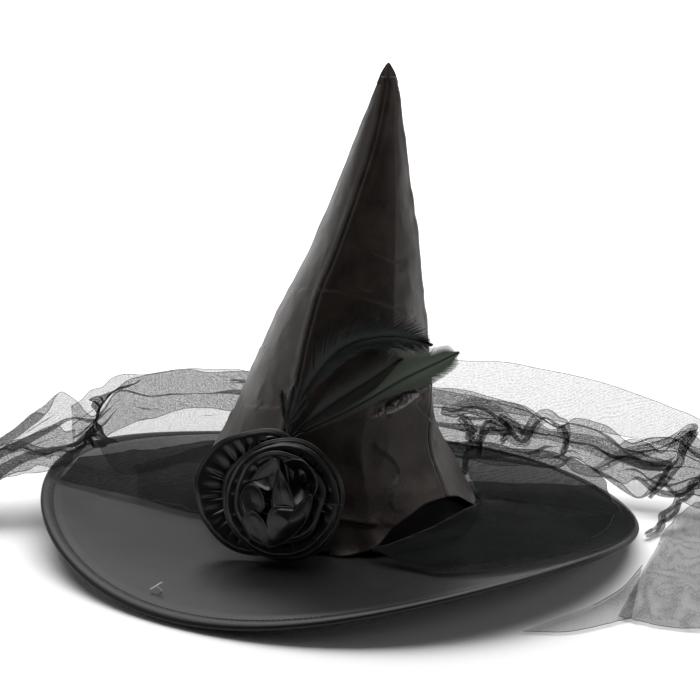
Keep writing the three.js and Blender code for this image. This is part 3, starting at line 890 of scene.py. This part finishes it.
def veil_right():
    right = drape(
        "veil_tail_right",
        [
            (-20, 106, 66), (30, 112, 72), (80, 104, 70), (126, 98, 62), (170, 90, 56), (212, 78, 48),
            (250, 64, 50), (298, 48, 26),
        ],
        [
            (0, 98, 24), (60, 82, 26), (104, 72, 24), (150, 62, 24), (188, 50, 22), (214, 44, 14),
            (248, 34, 10), (296, 20, 2),
        ],
        2.6, 4.5, 2, pinches=[(0.5, 0.45, 0.5, 0.04), (0.68, 0.5, 0.4, 0.04), (0.86, 0.5, 0.4, 0.04)],
        crumple=1.3, overlap=1.2,
    )
    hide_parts("veil_back")
    drape(
        "veil_right_middle",
        [
            (60, 108, 70), (100, 102, 64), (140, 94, 56), (176, 84, 48), (210, 74, 42), (240, 64, 54),
            (268, 54, 40),
        ],
        [
            (64, 90, 28), (104, 80, 28), (144, 74, 26), (178, 62, 20), (208, 50, 12), (236, 40, 12),
            (262, 30, 6),
        ],
        1.6, 4.5, 14, pinches=[(0.35, 0.5, 0.5, 0.04), (0.75, 0.5, 0.5, 0.04)], crumple=1.5,
    )
    drape(
        "veil_right_upper",
        [
            (20, 120, 86), (70, 124, 88), (126, 118, 86), (181, 104, 79), (225, 92, 68), (262, 78, 55),
            (296, 66, 40),
        ],
        [
            (20, 112, 56), (70, 110, 56), (126, 104, 52), (181, 92, 46), (225, 78, 40), (262, 64, 30),
            (296, 50, 22),
        ],
        0.8, 2.5, 8, material=sheer_net, crumple=0.6,
    )
    fan = drape(
        "veil_fan_right",
        [
            (20, -100, 24), (41, -96, 30), (58, -89, 36), (74, -79, 41), (86, -54, 38), (91, -24, 29),
            (91, 10, 22), (84, 42, 22),
        ],
        [
            (60, -136, 20), (104, -142, 30), (146, -124, 32), (172, -94, 26), (190, -52, 16),
            (197, -16, 8), (195, 16, 8), (180, 62, 14),
        ],
        2.0, 1.2, 3, material=doubled_net, crumple=0.6,
    )
    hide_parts("veil_right")
    drape(
        "veil_fan_upper",
        [(20, -102, 24), (42, -97, 31), (60, -89, 37), (76, -78, 42), (90, -50, 38)],
        [(50, -122, 20), (84, -124, 26), (126, -110, 28), (166, -66, 22), (184, -6, 12)],
        1.5, 1.5, 9, crumple=0.8,
    )
    # The doubled net here is painted shade: the single net beside the crown lies in the crown's shadow
    drape(
        "veil_fan_back",
        [(92, 12, 26), (84, 44, 30), (68, 70, 34), (48, 88, 36)],
        [(190, 0, 8), (186, 46, 18), (172, 74, 26), (150, 88, 30)],
        2.0, 1.6, 15, material=doubled_net, crumple=1.0,
    )
    drape(
        "veil_floor_right",
        [(220, 0, 4), (232, 20, 8), (250, 42, 10), (292, 60, 12)],
        [(170, -148, 1), (192, -160, 1), (220, -166, 1), (270, -170, 1)],
        1.4, 1.2, 4, crumple=0.4,
    )
    drape(
        "veil_floor_inner",
        [(158, -131, 2), (178, -103, 2), (196, -64, 3)],
        [(110, -174, 1), (140, -172, 1), (178, -150, 1)],
        0.6, 0.5, 10, material=sheer_net, crumple=0.2,
    )
    for name, (line, width, seed) in RIGHT_STRANDS.items():
        strand(name, line, width, seed)


GATHERS_HEIGHT = 22.0


def veil_gathers():
    u, v = grid(720, 20)
    degrees = 360 * u
    turn = 2 * math.pi * v
    centre, radius = crown_profile(np.full_like(u, GATHERS_HEIGHT))
    spot = polar(np.radians(degrees), 60.0 + 0 * u, 0 * u)
    fat = 1.8 + 0.6 * noise(spot, 16) + 0.15 * np.sin(np.radians(degrees) * 150 + 6 * noise(spot + 8, 20))
    across = radius * gore_factor(degrees, GATHERS_HEIGHT + 0 * u) + 3.5 + fat * np.cos(turn)
    points = polar(np.radians(degrees), across, 19 + fat * np.sin(turn))
    points[..., 0] += centre
    band = surface("veil_gathers", points, dense_net)
    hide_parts("veil_band")
    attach(band, "brim")


# ---- Tag fastener
TAG_FOOT = np.array([-108, -142])
TAG_KNEE = np.array([-3.1, 0, 3.6])  # from the foot to the middle of the bar
TAG_BAR = np.array([3.5, 0, 2.4])  # from the middle of the bar to one end


def tag():
    """The T end of a tag fastener: a stem that rises from the cloth to a short bar."""
    angle, radius = np.arctan2(TAG_FOOT[1], TAG_FOOT[0]), np.hypot(*TAG_FOOT)
    foot = np.array([*TAG_FOOT, brim_z(radius, angle) + CLOTH_TOP])
    knee = foot + TAG_KNEE
    stem = tube(resample([foot, lerp(foot, knee, 0.5) + [0.2, 0, 0.2], knee], 12), 0.4, 8)
    bar = tube(resample([knee - TAG_BAR, knee, knee + TAG_BAR], 8), 0.5, 8)
    for name, rows in (("tag_bar", bar), ("tag_stem", stem)):
        piece = join_grids(name, [rows], nylon, closed_v=True)
        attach(piece, "brim")
        if name == "tag_bar":
            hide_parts("tag_fastener")


# ---- Camera, floor and light
CAMERA_PLACE = (-0.76, -1323.03, 486.73)  # mm
CAMERA_ANGLES = (0.221, 15.247, 1.162)  # azimuth, elevation below the level and roll, in degrees
CAMERA_LENS = 106.723


def camera():
    data = bpy.data.cameras.new("camera")
    data.sensor_width = 36
    data.lens = CAMERA_LENS
    made = bpy.data.objects.new("camera", data)
    bpy.context.scene.collection.objects.link(made)
    azimuth, elevation, roll = (math.radians(a) for a in CAMERA_ANGLES)
    level_reach = math.cos(elevation)
    forward = Vector(
        (math.sin(azimuth) * level_reach, math.cos(azimuth) * level_reach, -math.sin(elevation))
    )
    level = Vector((math.cos(azimuth), -math.sin(azimuth), 0))
    upright = level.cross(forward)
    right = level * math.cos(roll) + upright * math.sin(roll)
    up = right.cross(forward)
    basis = Matrix((right, up, -forward)).transposed().to_4x4()
    basis.translation = Vector(CAMERA_PLACE) * MM
    made.matrix_world = basis
    data.clip_end = 100
    bpy.context.scene.camera = made


def area_light(name, place, target, size, power, color=(1, 1, 1)):
    data = bpy.data.lights.new(name, "AREA")
    data.shape = "RECTANGLE"
    data.size, data.size_y = size
    data.energy = power
    data.color = color
    made = bpy.data.objects.new(name, data)
    made.location = place
    made.rotation_euler = (Vector(target) - Vector(place)).to_track_quat("-Z", "Y").to_euler()
    bpy.context.scene.collection.objects.link(made)


def studio():
    white = principled("floor", (0.86, 0.86, 0.86), 0.9)[0]
    square = np.array([(-9, -9, 0), (9, -9, 0), (9, 9, 0), (-9, 9, 0)]) * 1000
    floor = make_object("floor", square, [(0, 1, 2, 3)], white)
    glow = principled("backdrop", (0.8, 0.8, 0.8), 1.0, Emission_Color=(1, 1, 1, 1), Emission_Strength=1.1)[0]
    corners = np.array([(-3.2, 2.1, 0), (3.2, 2.1, 0), (3.2, 2.1, 0.8), (-3.2, 2.1, 0.8)]) * 1000
    make_object("backdrop", corners, [(0, 1, 2, 3)], glow)
    world = bpy.data.worlds.new("studio")
    world.use_nodes = True
    world.node_tree.nodes["Background"].inputs["Color"].default_value = (1, 1, 1, 1)
    world.node_tree.nodes["Background"].inputs["Strength"].default_value = 0.03
    bpy.context.scene.world = world
    area_light("left_box", (-1.7, -0.05, 0.7), (0, 0, 0.15), (1.1, 0.8), 2.4)
    area_light("right_box", (1.6, -0.5, 0.75), (0, 0, 0.12), (1.1, 0.8), 4.1)
    area_light("top_box", (0.0, 1.0, 2.0), (0, 0.9, 0), (2.8, 2.6), 98)
    bpy.context.scene.view_settings.view_transform = "Standard"
    bpy.context.scene.cycles.transparent_max_bounces = 48


camera()
studio()
for made in (
    brim_face("brim_top", 1, "brim_top_cloth"),
    brim_face("brim_under", -1, "brim_under_cloth"),
    rim_roll(),
    rim_stitches(),
    sweatband(),
):
    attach(made, "brim")
for side in GORES:
    gore(side)
crown_lining()
peak_tip()
rosette()
feathers()
veil_left()
veil_right()
veil_gathers()
tag()
